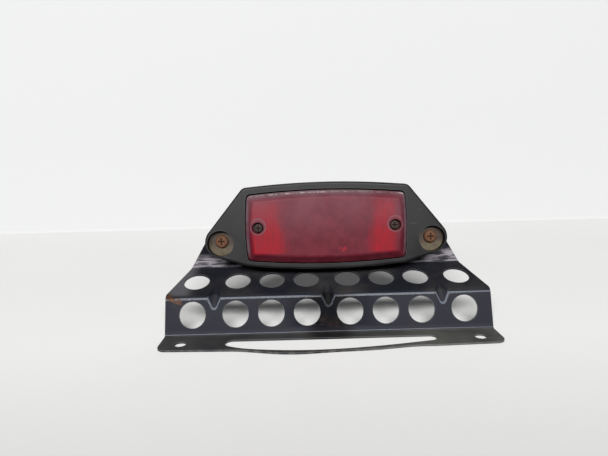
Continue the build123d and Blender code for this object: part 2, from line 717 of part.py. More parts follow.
spring_low = SHELL_REAR + 0.8 + SPRING_WIRE_R + 0.1
spring_high = CARRIER_FRONT - CARRIER_T - SPRING_WIRE_R - 0.1
with BuildPart() as contact_spring:
    with BuildLine():
        coil = Helix(
            pitch=(spring_high - spring_low) / SPRING_TURNS, height=spring_high - spring_low,
            radius=SPRING_R, center=bulb_centre + OUT * spring_low, direction=OUT,
        )  # fmt: skip
    with BuildSketch(Plane(coil @ 0, z_dir=coil % 0)):
        Circle(SPRING_WIRE_R)
    sweep(path=coil, is_frenet=True)
save(contact_spring, "contact_spring")
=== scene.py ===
"""Looks for the motorcycle tail light on its perforated steel bracket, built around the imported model."""

import json
import math

import bmesh
import bpy
from mathutils import Matrix, Vector


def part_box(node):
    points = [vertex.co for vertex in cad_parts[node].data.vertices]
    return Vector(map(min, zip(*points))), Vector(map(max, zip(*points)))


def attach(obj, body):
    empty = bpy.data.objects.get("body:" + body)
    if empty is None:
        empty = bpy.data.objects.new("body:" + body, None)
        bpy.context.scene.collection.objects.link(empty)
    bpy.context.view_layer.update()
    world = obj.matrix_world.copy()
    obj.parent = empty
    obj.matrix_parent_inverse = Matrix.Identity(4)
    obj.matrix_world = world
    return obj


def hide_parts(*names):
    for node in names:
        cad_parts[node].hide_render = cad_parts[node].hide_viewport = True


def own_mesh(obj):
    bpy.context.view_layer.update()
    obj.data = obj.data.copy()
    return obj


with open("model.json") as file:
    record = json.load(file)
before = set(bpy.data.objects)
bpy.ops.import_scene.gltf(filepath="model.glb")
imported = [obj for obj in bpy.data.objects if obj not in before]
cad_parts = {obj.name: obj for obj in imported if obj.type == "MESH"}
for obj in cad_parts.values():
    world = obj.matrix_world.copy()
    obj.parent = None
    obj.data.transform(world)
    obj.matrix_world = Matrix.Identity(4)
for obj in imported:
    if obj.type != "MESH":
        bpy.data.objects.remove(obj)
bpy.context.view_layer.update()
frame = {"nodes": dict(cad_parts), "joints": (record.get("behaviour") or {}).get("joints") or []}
nodes = frame["nodes"]
MM = 0.001

# ---- Reference directions and places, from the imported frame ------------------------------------
RIGHT = Vector((1, 0, 0))
OUT = -Vector(frame["joints"][0]["axis"]).normalized()  # out of the lamp's face
RISE = OUT.cross(RIGHT).normalized()  # up the lamp's face


def middle(node):
    """The middle of a node's box."""
    low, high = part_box(node)
    return (low + high) / 2


FACE_W = max(v.co.dot(OUT) for v in nodes["lamp_housing"].data.vertices)  # level with the ears
SCREW_RISE = middle("mounting_screws").dot(RISE)
HEEL_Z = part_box("lamp_housing")[0].z - 0.001  # about where the shelf turns up into the back plate


def at(u, v, w):
    """The place u to the right, v up the face from the mounting screws and w out of it, all in mm."""
    return RIGHT * (u * MM) + RISE * (SCREW_RISE + v * MM) + OUT * (FACE_W + w * MM)


# ---- Dimensions that the finishes and the new pieces follow, in mm and radians -------------------
WALL_LEAN, SHELF_RISE = math.radians(17.6), math.radians(20.35)
BROW = Vector((0, 0.0265, 0.0324))  # on the line where the bracket's wall and shelf would meet
DART_X = 96.0  # the outer darts' places across
LENS_HALF_W, LENS_HALF_H = 66.2, 27.2  # to the lens's corners
LENS_MIDDLE_V, LENS_TOP_V = 11.3, 41.5  # the lens's middle, and the middle of its top edge
TOP_BOW, SIDE_BOW = 3.0, 1.4  # how far the lens's edges bulge
LENS_SCREW_U = 57.2
OPTIC_HALF_U, OPTIC_LOW, OPTIC_HIGH = 52.0, -9.0, 31.5  # the flutes' and prisms' extent
OPTIC_FRONT, OPTIC_BACK = 7.1, 5.9  # how far out they start and end
OPTIC_COLUMNS, OPTIC_ROWS = 416, 78
FLUTE_PITCH, FLUTE_DEPTH, FLUTE_HALF_U = 1.8, 0.28, 42.0
PRISM_PITCH, PRISM_DEPTH = 2.6, 0.30
FLUTE_TO_PRISM = 2.0  # over which the flutes pass into the prisms
WELL_CLEAR = 7.6  # kept free round the lens screws
SPRING_R, SPRING_WIRE_R, SPRING_TURNS, PUSH = 6.0, 0.35, 4, 1.6
CLOSED_TURN = 0.75  # of each end coil lies flat
WIRE_SIDES, TURN_STEPS = 10, 40

# ---- Camera ------------------------------------------------------------------------------------
CAMERA_PLACE = (-0.02035, -0.3593, 0.1516)
YAW, PITCH, ROLL = math.radians(0.22), math.radians(9.3), math.radians(-1.46)
FOCAL_LENGTH, SENSOR_WIDTH = 28.155, 36


def set_camera():
    data = bpy.data.cameras.new("camera")
    data.lens = FOCAL_LENGTH
    data.sensor_width = SENSOR_WIDTH
    camera = bpy.data.objects.new("camera", data)
    bpy.context.scene.collection.objects.link(camera)
    forward = Vector(
        (math.sin(YAW) * math.cos(PITCH), math.cos(YAW) * math.cos(PITCH), -math.sin(PITCH))
    )
    level = Vector((math.cos(YAW), -math.sin(YAW), 0))
    upright = level.cross(forward)
    across = level * math.cos(ROLL) + upright * math.sin(ROLL)
    upright = upright * math.cos(ROLL) - level * math.sin(ROLL)
    turn = Matrix((across, upright, -forward)).transposed().to_4x4()
    camera.matrix_world = Matrix.Translation(CAMERA_PLACE) @ turn
    bpy.context.scene.camera = camera


set_camera()


# ---- Node helpers ------------------------------------------------------------------------------
class Shade:
    """One material's node tree, with short calls for the nodes that the finishes use."""

    def __init__(self, name, colour, roughness, metallic=0.0):
        self.material = bpy.data.materials.new(name)
        self.material.use_nodes = True
        self.tree = self.material.node_tree
        self.shader = self.tree.nodes["Principled BSDF"]
        self.set("Base Color", (*colour, 1.0))
        self.set("Roughness", roughness)
        self.set("Metallic", metallic)
        self.place = self.node("ShaderNodeTexCoord").outputs["Object"]

    def node(self, kind, **settings):
        made = self.tree.nodes.new(kind)
        for key, value in settings.items():
            setattr(made, key, value)
        return made

    def put(self, socket, value):
        if isinstance(value, bpy.types.NodeSocket):
            self.tree.links.new(value, socket)
        elif value is not None:
            socket.default_value = value

    def set(self, name, value):
        self.put(self.shader.inputs[name], value)

    def math(self, operation, a, b=None, c=None, clamp=False):
        made = self.node("ShaderNodeMath", operation=operation, use_clamp=clamp)
        for socket, value in zip(made.inputs, (a, b, c)):
            self.put(socket, value)
        return made.outputs[0]

    def times(self, first, *others):
        """The product of several numbers."""
        for other in others:
            first = self.math("MULTIPLY", first, other)
        return first

    def most(self, first, *others):
        """The greatest of several numbers."""
        for other in others:
            first = self.math("MAXIMUM", first, other)
        return first

    def stretched(self, scale, shift=(0, 0, 0)):
        made = self.node("ShaderNodeMapping")
        self.put(made.inputs["Vector"], self.place)
        made.inputs["Scale"].default_value = scale
        made.inputs["Location"].default_value = shift
        return made.outputs[0]

    def noise(self, scale, detail=4.0, rough=0.6, place=None):
        made = self.node("ShaderNodeTexNoise")
        self.put(made.inputs["Vector"], place or self.place)
        made.inputs["Scale"].default_value = scale
        made.inputs["Detail"].default_value = detail
        made.inputs["Roughness"].default_value = rough
        return made.outputs["Fac"]

    def steps(self, value, low, high, out_low=0.0, out_high=1.0):
        """value, taken from the range low..high to out_low..out_high, smoothly."""
        made = self.node("ShaderNodeMapRange", interpolation_type="SMOOTHSTEP")
        for socket, number in zip(made.inputs, (value, low, high, out_low, out_high)):
            self.put(socket, number)
        return made.outputs["Result"]

    def mix(self, share, a, b):
        """Colour a where share is 0, b where it is 1."""
        made = self.node("ShaderNodeMix", data_type="RGBA")
        self.put(made.inputs["Factor"], share)
        for key, value in (("A", a), ("B", b)):
            socket = [s for s in made.inputs if s.name == key and s.type == "RGBA"][0]
            self.put(socket, (*value, 1.0) if isinstance(value, tuple) else value)
        return [s for s in made.outputs if s.type == "RGBA"][0]

    def blend(self, share, a, b):
        """Number a where share is 0, b where it is 1."""
        made = self.node("ShaderNodeMix", data_type="FLOAT")
        self.put(made.inputs["Factor"], share)
        self.put(made.inputs["A"], a)
        self.put(made.inputs["B"], b)
        return made.outputs[0]

    def along(self, direction, origin=Vector((0, 0, 0))):
        """How far the surface point is along a direction from origin, in mm."""
        dot = self.node("ShaderNodeVectorMath", operation="DOT_PRODUCT")
        self.put(dot.inputs[0], self.place)
        dot.inputs[1].default_value = tuple(direction)
        return self.math(
            "MULTIPLY_ADD", dot.outputs["Value"], 1000.0, -1000.0 * origin.dot(direction)
        )

    def away(self, point, spread=(1, 1, 1)):
        """Distance from a point, in mm, with each axis divided by its spread."""
        shifted = self.node("ShaderNodeVectorMath", operation="SUBTRACT")
        self.put(shifted.inputs[0], self.place)
        shifted.inputs[1].default_value = tuple(point)
        scaled = self.node("ShaderNodeVectorMath", operation="MULTIPLY")
        self.put(scaled.inputs[0], shifted.outputs[0])
        scaled.inputs[1].default_value = tuple(1000.0 / s for s in spread)
        length = self.node("ShaderNodeVectorMath", operation="LENGTH")
        self.put(length.inputs[0], scaled.outputs[0])
        return length.outputs["Value"]

    def edges(self, radius):
        """1 at the piece's sharp edges, 0 on its flat sides."""
        rounded = self.node("ShaderNodeBevel", samples=6)
        rounded.inputs["Radius"].default_value = radius * MM
        flat = self.node("ShaderNodeNewGeometry").outputs["Normal"]
        dot = self.node("ShaderNodeVectorMath", operation="DOT_PRODUCT")
        self.put(dot.inputs[0], rounded.outputs[0])
        self.put(dot.inputs[1], flat)
        return self.steps(dot.outputs["Value"], 0.985, 0.86)

    def facing_up(self):
        """1 on level tops, 0 on upright sides."""
        split = self.node("ShaderNodeSeparateXYZ")
        self.put(split.inputs[0], self.node("ShaderNodeNewGeometry").outputs["Normal"])
        return split.outputs["Z"]

    def bump(self, height, strength, distance, under=None):
        made = self.node("ShaderNodeBump")
        made.inputs["Strength"].default_value = strength
        made.inputs["Distance"].default_value = distance * MM
        self.put(made.inputs["Height"], height)
        self.put(made.inputs["Normal"], under)
        return made.outputs[0]


def wear(node, made):
    """Gives a node or a new piece the finish."""
    piece = nodes[node] if isinstance(node, str) else node
    if not piece.material_slots:
        piece.data.materials.append(made.material)
    for one in piece.material_slots:
        one.material = made.material


# ---- Bracket: glossy black stove enamel, scuffed grey at its edges, with rust, a little dust, and painted reflections, shade and highlight lines --
BLACK, SOFT_BLACK = (0.0040, 0.0043, 0.0060), (0.0070, 0.0072, 0.0086)
PAINTED_SHADE_BLACK = (0.0010, 0.0010, 0.0012)
BLUE_GREY_REFLECTION, PALE_GREY, CREST_HIGHLIGHT = (0.0125, 0.0130, 0.0160), (0.048, 0.048, 0.053), (0.052, 0.058, 0.070)
FILM, PALE_FILM = (0.020, 0.020, 0.021), (0.042, 0.042, 0.039)
SCUFF, THIN, RUBBED_AND_HIGHLIGHT = (0.050, 0.051, 0.053), (0.050, 0.050, 0.046), (0.095, 0.088, 0.096)
DUST, BROWN = (0.20, 0.18, 0.15), (0.026, 0.016, 0.011)
RUST, PALE_RUST = (0.018, 0.0082, 0.0048), (0.036, 0.0170, 0.0100)


def heel_wear_and_highlight_mask(enamel, across_x, height):
    """The foot of the back plate beside the lamp: rubbed pale, more on the right than on the left, with
    painted highlights over the pale patches and a painted highlight line along the bend at its foot.
    """
    up_plate = enamel.math("SUBTRACT", height, HEEL_Z * 1000)
    right = enamel.times(enamel.steps(across_x, 82, 93), enamel.steps(up_plate, 15.0, 9.0))
    left = enamel.times(enamel.steps(across_x, -86, -95), enamel.steps(up_plate, 14.0, 7.0))
    patches = enamel.times(enamel.most(right, left), enamel.steps(up_plate, 1.5, 4.0))
    side = enamel.math("ABSOLUTE", across_x)
    line = enamel.times(
        enamel.steps(up_plate, 0.6, 1.4), enamel.steps(up_plate, 3.2, 2.0), enamel.steps(side, 74, 80)
    )
    grazes = enamel.noise(1, 4, 0.6, enamel.stretched((60, 500, 500)))
    return enamel.times(enamel.most(patches, line), enamel.steps(grazes, 0.40, 0.56, 0.12, 1.0))


def corner_rust(enamel, across_x, height, fine):
    """A slanting streak of rust at the wall's top left corner."""
    from_streak = enamel.math(
        "ABSOLUTE", enamel.math("ADD", enamel.along((0.39, 0, 0.92)), 22.7)
    )
    return enamel.times(
        enamel.steps(from_streak, 3.0, 1.4),
        enamel.steps(across_x, -121, -125),
        enamel.steps(height, 35.5, 33.5),
        enamel.steps(fine, 0.38, 0.5),
    )


def painted_crest_highlights(enamel, side, height):
    """Painted highlight lines along the crest of every bend and along the rims of the darts."""
    turned = enamel.facing_up()
    into_wall = enamel.along((0, math.cos(WALL_LEAN), -math.sin(WALL_LEAN)), BROW)
    into_shelf = enamel.along((0, math.sin(SHELF_RISE), -math.cos(SHELF_RISE)), BROW)
    sunk = enamel.math("MINIMUM", into_wall, into_shelf)
    crest_highlight = enamel.times(
        enamel.steps(turned, 0.40, 0.45),
        enamel.steps(turned, 0.58, 0.52),
        enamel.steps(sunk, 1.4, 0.8),
        enamel.steps(height, 32.1, 31.5),
    )
    from_outer = enamel.math("ABSOLUTE", enamel.math("SUBTRACT", side, DART_X))
    from_dart = enamel.math("MINIMUM", side, from_outer)
    dart_rim_highlight = enamel.times(
        enamel.steps(sunk, 0.06, 0.2),
        enamel.steps(sunk, 0.9, 0.55),
        enamel.steps(from_dart, 8.5, 7.5),
        enamel.steps(height, 31.4, 30.8, 0.0, 0.9),
    )
    return enamel.most(crest_highlight, dart_rim_highlight)


def bracket_finish():
    enamel = Shade("black_enamel", (0.006, 0.007, 0.010), 0.25)
    broad = enamel.noise(20, 5, 0.62)
    fine = enamel.noise(260, 5, 0.65)
    height = enamel.along((0, 0, 1))
    forward_y = enamel.along((0, -1, 0))
    across_x = enamel.along((1, 0, 0))
    side = enamel.math("ABSOLUTE", across_x)
    on_flange = enamel.steps(height, 3.0, 2.0)
    low_wall = enamel.steps(height, 32.5, 30.5)

    # Edges scuffed to grey, long fine scratches, dust on the level parts, and a brown breath of rust.
    ragged_edge = enamel.math("MULTIPLY_ADD", enamel.noise(140, 4), 1.1, enamel.edges(0.8))
    scuff = enamel.steps(ragged_edge, 1.05, 1.5)
    streak = enamel.noise(1, 4, 0.6, enamel.stretched((40, 700, 700)))
    scratch = enamel.times(
        enamel.steps(streak, 0.69, 0.76), enamel.steps(enamel.noise(35, 2), 0.52, 0.64)
    )
    dusty = enamel.times(
        enamel.steps(enamel.facing_up(), 0.35, 0.95), enamel.steps(broad, 0.35, 0.75, 0.003, 0.035)
    )
    brown = enamel.times(
        enamel.steps(enamel.noise(45, 4), 0.55, 0.70, 0.0, 0.22), enamel.steps(fine, 0.35, 0.6)
    )
    rust = corner_rust(enamel, across_x, height, fine)
    # The back plate's pale, rubbed foot, with painted highlights on it and along its bend.
    heel_wear_and_highlight = heel_wear_and_highlight_mask(enamel, across_x, height)
    # The flange's front edge and tips, where the black is worn thin.
    thin = enamel.times(
        enamel.steps(forward_y, 9.5, 12.5),
        on_flange,
        enamel.steps(enamel.noise(170, 4), 0.40, 0.62, 0.0, 0.6),
    )

    tint = enamel.mix(enamel.steps(broad, 0.4, 0.7), BLACK, SOFT_BLACK)
    # A painted blue-grey reflection over the wall's sides and foot, and a paler grey over the shelf's left
    # end.
    painted_reflection = enamel.most(enamel.steps(side, 15, 50, 0.0, 0.7), enamel.steps(height, 9.0, 4.0))
    painted_reflection = enamel.times(painted_reflection, low_wall, enamel.steps(height, 1.6, 3.0))
    tint = enamel.mix(painted_reflection, tint, BLUE_GREY_REFLECTION)
    pale_shelf_end = enamel.times(
        enamel.steps(across_x, -112, -124), enamel.steps(height, 32.0, 34.0), 0.6
    )
    tint = enamel.mix(pale_shelf_end, tint, PALE_GREY)
    # Painted highlight lines along the bends' crests and the darts' rims.
    tint = enamel.mix(painted_crest_highlights(enamel, side, height), tint, CREST_HIGHLIGHT)
    # A grey film of dirt on the flange, paler to the right.
    film = enamel.times(
        enamel.steps(height, 2.4, 1.5), enamel.steps(broad, 0.25, 0.7, 0.5, 1.0)
    )
    tint = enamel.mix(film, tint, enamel.mix(enamel.steps(across_x, -60, 110), FILM, PALE_FILM))
    # Painted shade: the middle of the wall darker, as its reflection is darker there.
    middle_wall_shade = enamel.times(enamel.steps(side, 26, 8, 0.0, 0.7), low_wall)
    tint = enamel.mix(middle_wall_shade, tint, PAINTED_SHADE_BLACK)
    tint = enamel.mix(dusty, tint, DUST)
    tint = enamel.mix(brown, tint, BROWN)
    tint = enamel.mix(enamel.most(scuff, scratch), tint, SCUFF)
    tint = enamel.mix(thin, tint, THIN)
    tint = enamel.mix(heel_wear_and_highlight, tint, RUBBED_AND_HIGHLIGHT)
    tint = enamel.mix(rust, tint, enamel.mix(enamel.steps(fine, 0.45, 0.6), RUST, PALE_RUST))
    enamel.set("Base Color", tint)

    dull = enamel.most(scuff, rust, thin, heel_wear_and_highlight)
    rough = enamel.math("MULTIPLY_ADD", dull, 0.25, enamel.steps(broad, 0.3, 0.7, 0.10, 0.14))
    rough = enamel.math("MULTIPLY_ADD", on_flange, 0.35, rough)
    enamel.set("Roughness", enamel.math("MULTIPLY_ADD", dusty, 2.0, rough, clamp=True))
    enamel.set("Specular IOR Level", 0.025)
    orange_peel = enamel.bump(enamel.noise(260, 2), 0.02, 0.03)
    enamel.set("Normal", enamel.bump(rust, 0.25, 0.12, orange_peel))
    return enamel


wear("bracket", bracket_finish())


# ---- Lamp base: satin black plastic, dusty on top, with fine scratches and pale rubbed edges -----
def housing_finish():
    plastic = Shade("black_plastic", (0.011, 0.011, 0.012), 0.45)
    cloud = plastic.noise(28, 5, 0.6)
    grain = plastic.noise(2200, 3, 0.7)
    dusty = plastic.times(
        plastic.steps(plastic.facing_up(), 0.15, 1.0), plastic.steps(cloud, 0.35, 0.7, 0.01, 0.05)
    )
    ragged_edge = plastic.math("MULTIPLY_ADD", plastic.noise(90, 4), 0.9, plastic.edges(0.9))
    worn = plastic.steps(ragged_edge, 0.9, 1.6)
    lines = plastic.noise(1, 3, 0.5, plastic.stretched((90, 90, 1400), (0.2, 0.1, 0.4)))
    hair = plastic.times(plastic.steps(lines, 0.66, 0.76), plastic.steps(cloud, 0.45, 0.6))
    tint = plastic.mix(
        plastic.steps(cloud, 0.35, 0.7), (0.0022, 0.0022, 0.0025), (0.0046, 0.0045, 0.0048)
    )
    tint = plastic.mix(dusty, tint, (0.30, 0.29, 0.25))
    tint = plastic.mix(worn, tint, (0.030, 0.030, 0.030))
    tint = plastic.mix(hair, tint, (0.032, 0.032, 0.032))
    plastic.set("Base Color", tint)
    plastic.set("Specular IOR Level", 0.10)
    satin = plastic.steps(cloud, 0.3, 0.7, 0.40, 0.55)
    plastic.set("Roughness", plastic.math("MULTIPLY_ADD", dusty, 1.5, satin))
    plastic.set("Normal", plastic.bump(grain, 0.10, 0.05))
    return plastic


wear("lamp_housing", housing_finish())

# ---- Lens: red acrylic, clouded by sun and dirt, clearer over its two side windows, where the reflector's light is painted in as a brighter red, and with painted highlights at its edges ---
DARK_RED, MID_RED = (0.034, 0.0030, 0.0060), (0.046, 0.0048, 0.0086)
WINDOW_RED_AND_GLOW, RIPPLE_RED, SPECK_RED = (0.096, 0.0018, 0.0048), (0.030, 0.005, 0.008), (0.14, 0.006, 0.011)
HAZE, RIM_HAZE = (0.064, 0.024, 0.030), (0.085, 0.045, 0.052)
CHALK_AND_HIGHLIGHT, TOP_BEVEL_HAZE_AND_SKYLIGHT, CHIPS_AND_GLINTS = (0.056, 0.042, 0.049), (0.056, 0.047, 0.050), (0.17, 0.135, 0.138)


def lens_windows(red, across_u, up_v, from_screw):
    """1 over the clearer window at either side of the lens, with ragged inner edges."""
    ragged = red.noise(1, 3, 0.5, red.stretched((420, 45, 45)))
    ragged = red.math("MULTIPLY_ADD", ragged, 7.0, -3.5)
    flare = red.steps(up_v, 18.0, -4.0, 0.0, 4.0)  # how much wider the windows are at their foot
    ragged = red.math("SUBTRACT", ragged, flare)
    left_u, right_u = red.math("ADD", across_u, ragged), red.math("SUBTRACT", across_u, ragged)
    left = red.times(red.steps(across_u, -65.5, -59.0), red.steps(left_u, -33.0, -46.0))
    right = red.times(red.steps(across_u, 60.5, 53.5), red.steps(right_u, 34.0, 47.0))
    return red.times(
        red.most(left, right),
        red.steps(up_v, -13.0, -10.0),
        red.steps(up_v, 37.0, 27.0),
        red.steps(from_screw, 6.3, 7.8, 0.12, 1.0),
    )


def edge_chalk_and_highlights(red, skin, across_u, up_v, cloudy):
    """The moulding's outer edge: chalky down the sides with a painted edge highlight, but for the foot; hazy
    on the top bevel with painted light from above; and chipped to white along the top with painted glints.
    """
    sag = red.times(across_u, across_u)
    top_edge = red.math("MULTIPLY_ADD", sag, -TOP_BOW / LENS_HALF_W**2, LENS_TOP_V)
    under_top = red.math("SUBTRACT", top_edge, up_v)
    above = red.math("SUBTRACT", up_v, LENS_MIDDLE_V)
    lean = red.times(above, above)
    side_edge = red.math("MULTIPLY_ADD", lean, -SIDE_BOW / LENS_HALF_H**2, LENS_HALF_W + SIDE_BOW)
    from_side = red.math("SUBTRACT", side_edge, red.math("ABSOLUTE", across_u))
    # Chalky sides with a painted edge highlight, left off at the foot.
    chalk_and_highlight = red.times(
        red.steps(from_side, 3.2, 1.4),
        red.steps(up_v, -17.0, -8.0),
        red.steps(red.noise(90, 3), 0.3, 0.6, 0.45, 1.0),
        0.7,
    )
    skin = red.mix(chalk_and_highlight, skin, CHALK_AND_HIGHLIGHT)
    # The top bevel: haze, with painted light from above on it.
    top_bevel_light = red.times(red.steps(under_top, 7.0, 1.0), red.steps(cloudy, 0.3, 0.65, 0.25, 0.75))
    skin = red.mix(top_bevel_light, skin, TOP_BEVEL_HAZE_AND_SKYLIGHT)
    dashes = red.times(
        red.steps(red.noise(1, 5, 0.7, red.stretched((300, 60, 60))), 0.43, 0.58),
        red.steps(across_u, 24.0, -8.0, 0.3, 1.0),
        red.steps(across_u, -58.0, -36.0, 0.3, 1.0),
    )
    corner_chip = red.steps(red.away(at(63.0, 36.6, 3.5), (3, 2, 3)), 1.1, 0.6)
    # Chips along the top edge, with painted glints.
    chips_and_glints = red.times(
        red.most(dashes, corner_chip),
        red.steps(under_top, 1.5, 2.5),
        red.steps(under_top, 3.3, 2.3),
    )
    return red.mix(chips_and_glints, skin, CHIPS_AND_GLINTS)


def lens_finish():
    red = Shade("red_lens", (0.2, 0.01, 0.02), 0.3)
    across_u, up_v = red.along(RIGHT), red.along(RISE, at(0, 0, 0))
    cloudy = red.noise(38, 5, 0.65)
    mottle = red.noise(120, 4, 0.6)
    ripple = red.noise(1, 3, 0.55, red.stretched((900, 90, 90)))
    from_screw = red.math(
        "MINIMUM", *(red.away(at(u, LENS_MIDDLE_V, 10)) for u in (-LENS_SCREW_U, LENS_SCREW_U))
    )
    windows = lens_windows(red, across_u, up_v, from_screw)

    # Haze hides the red, most at the top, and least over the windows' lower parts.
    veil = red.times(
        red.steps(cloudy, 0.3, 0.72, 0.30, 0.70), red.steps(up_v, -8.0, 34.0, 0.0, 1.05)
    )
    clear_part = red.blend(red.steps(up_v, 30.0, -6.0), 0.9, 0.06)
    haze = red.math("MULTIPLY", veil, red.blend(windows, 1.0, clear_part), clamp=True)
    skin = red.mix(red.steps(mottle, 0.38, 0.62), DARK_RED, MID_RED)
    # The windows: a brighter red, with the light that the reflector sends back through them painted in.
    skin = red.mix(red.times(windows, 0.95), skin, WINDOW_RED_AND_GLOW)
    skin = red.mix(red.steps(ripple, 0.35, 0.68, 0.0, 0.35), skin, RIPPLE_RED)
    skin = red.mix(haze, skin, HAZE)
    # A pale rim round each screw's well, and a few bright specks near the foot.
    rim = red.times(red.steps(from_screw, 5.6, 6.2), red.steps(from_screw, 7.2, 6.5), 0.4)
    skin = red.mix(rim, skin, RIM_HAZE)
    from_specks = red.away(at(14.0, -8.8, 9.8), (5.5, 1.3, 3.0))
    specks = red.times(
        red.steps(from_specks, 1.1, 0.6), red.steps(red.noise(520, 2), 0.50, 0.60), 0.5
    )
    skin = red.mix(specks, skin, SPECK_RED)
    red.set("Base Color", edge_chalk_and_highlights(red, skin, across_u, up_v, cloudy))
    red.set("Roughness", red.math("MULTIPLY_ADD", haze, 0.15, 0.48))
    red.set("IOR", 1.49)
    red.set("Specular IOR Level", 0.025)
    red.set("Transmission Weight", red.math("MULTIPLY_ADD", haze, -0.04, 0.06, clamp=True))
    red.set("Normal", red.bump(ripple, 0.10, 0.12))
    return red


wear("lens", lens_finish())


# ---- The other nodes: one kind of finish, with speckles and stains -------------------------------
def simple(name, colour, roughness, metallic, members, scale=300, depth=0.1, dark=0.55, stain=None,
           shine=0.5):
    """A finish with speckled colour, roughness and relief, and stains if a stain colour is given."""
    made = Shade(name, colour, roughness, metallic)
    speck = made.noise(scale, 5)
    tone = made.mix(made.steps(speck, 0.35, 0.65), tuple(c * dark for c in colour), colour)
    if stain:
        patch = made.steps(made.noise(scale * 0.35, 4, 0.7), 0.45, 0.6)
        tone = made.mix(patch, tone, stain)
        made.set("Metallic", made.math("MULTIPLY_ADD", patch, -metallic, metallic))
    made.set("Base Color", tone)
    made.set("Roughness", made.steps(speck, 0.3, 0.7, roughness * 0.75, min(1.0, roughness * 1.25)))
    made.set("Normal", made.bump(speck, 0.3, depth))
    made.set("Specular IOR Level", shine)
    for member in members:
        wear(member, made)
    return made


def washer_top_shade(zinc):
    """Painted shade over the top of the washers, where the rims of the wells shade them, with a ragged edge.
    """
    shade_reach = zinc.math("MULTIPLY_ADD", zinc.noise(220, 4), 7.0, zinc.along(RISE, at(0, -2.0, 0)))
    plating = zinc.shader.inputs["Base Color"].links[0].from_socket
    zinc.set("Base Color", zinc.mix(zinc.steps(shade_reach, -3.0, 3.0), plating, (0.013, 0.0078, 0.0048)))


simple("rusty_steel", (0.050, 0.021, 0.0095), 0.7, 0.0, ["mounting_screws"],
       900, 0.15, 0.5, (0.030, 0.012, 0.005), 0.12)
washer_top_shade(simple("dull_zinc", (0.038, 0.030, 0.016), 0.6, 0.0, ["mounting_washers"],
                  420, 0.08, 0.6, (0.024, 0.015, 0.008), 0.15))
simple("lens_screw_steel", (0.017, 0.010, 0.007), 0.7, 0.0, ["lens_screws"],
       900, 0.1, 0.5, (0.008, 0.005, 0.004), 0.12)
simple("bright_zinc", (0.50, 0.48, 0.42), 0.35, 0.9,
       ["socket_shell", "socket_rivets", "mounting_collars", "mounting_nuts"],
       300, 0.05, 0.7, (0.16, 0.12, 0.07))
simple("gasket_rubber", (0.012, 0.012, 0.012), 0.75, 0.0, ["lens_gasket", "lens_screw_seals"], 600)
simple("damper_rubber", (0.012, 0.012, 0.012), 0.7, 0.0, ["mounting_grommets", "socket_boot"],
       600, 0.08, 0.6)
simple("brass", (0.50, 0.33, 0.11), 0.35, 0.95,
       ["lens_screw_inserts", "contact_plungers", "earth_tab"], 300, 0.03, 0.7)
simple("metallised", (0.8, 0.8, 0.8), 0.2, 0.95, ["reflector"], 200, 0.02, 0.85)
simple("nickel", (0.55, 0.52, 0.45), 0.3, 0.95, ["bulb_base", "bulb_pins"], 300, 0.03, 0.75)
simple("black_glass", (0.01, 0.01, 0.012), 0.15, 0.0, ["bulb_insulator"], 300, 0.02)
simple("solder", (0.5, 0.5, 0.5), 0.4, 0.9, ["bulb_contacts"], 300)
simple("tungsten", (0.2, 0.2, 0.2), 0.4, 0.9, ["bulb_filaments"], 300)
simple("fibre_board", (0.16, 0.07, 0.03), 0.7, 0.0, ["contact_carrier"], 600)
spring_finish = simple("spring_steel", (0.4, 0.4, 0.4), 0.35, 0.9, [], 300, 0.02)
glass = Shade("clear_glass", (1, 1, 1), 0.02)
glass.set("Transmission Weight", 1.0)
glass.set("IOR", 1.5)
wear("bulb_glass", glass)
wear("bulb_stem", glass)


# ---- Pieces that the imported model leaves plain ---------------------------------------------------
def piece_of(name, shape, body):
    """Turns a bmesh into a smooth piece that rides on a body."""
    mesh = bpy.data.meshes.new(name)
    bmesh.ops.recalc_face_normals(shape, faces=shape.faces)
    shape.to_mesh(mesh)
    shape.free()
    mesh.shade_smooth()
    made = bpy.data.objects.new(name, mesh)
    bpy.context.scene.collection.objects.link(made)
    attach(made, body)
    return made


def optic_front(u, v):
    """Upright flutes in the middle of the lens, pillow prisms towards its ends."""
    flute = FLUTE_DEPTH * math.cos(2 * math.pi * u / FLUTE_PITCH)
    prism = PRISM_DEPTH * math.cos(2 * math.pi * u / PRISM_PITCH)
    prism *= math.cos(2 * math.pi * v / PRISM_PITCH)
    share = min(1.0, max(0.0, (abs(u) - FLUTE_HALF_U) / FLUTE_TO_PRISM))
    return OPTIC_FRONT + flute * (1 - share) + prism * share


def lens_optics():
    """The sheet of flutes and prisms inside the lens, open round the screws' wells."""
    shape = bmesh.new()
    grid = []
    for r in range(OPTIC_ROWS + 1):
        v = OPTIC_LOW + (OPTIC_HIGH - OPTIC_LOW) * r / OPTIC_ROWS
        us = [OPTIC_HALF_U * (2 * c / OPTIC_COLUMNS - 1) for c in range(OPTIC_COLUMNS + 1)]
        grid.append([(u, v, shape.verts.new(at(u, v, optic_front(u, v)))) for u in us])
    for r in range(OPTIC_ROWS):
        for c in range(OPTIC_COLUMNS):
            ring = [grid[r][c], grid[r][c + 1], grid[r + 1][c + 1], grid[r + 1][c]]
            from_well = min(math.hypot(abs(u) - LENS_SCREW_U, v - LENS_MIDDLE_V) for u, v, _ in ring)
            if from_well > WELL_CLEAR:
                shape.faces.new([vert for _, _, vert in ring])
    bmesh.ops.delete(shape, geom=[v for v in shape.verts if not v.link_faces], context="VERTS")
    grown = bmesh.ops.extrude_face_region(shape, geom=shape.faces[:])
    back = FACE_W + OPTIC_BACK * MM
    for vert in grown["geom"]:
        if isinstance(vert, bmesh.types.BMVert):
            vert.co += OUT * (back - vert.co.dot(OUT))
    return piece_of("lens_optics", shape, "fixture")


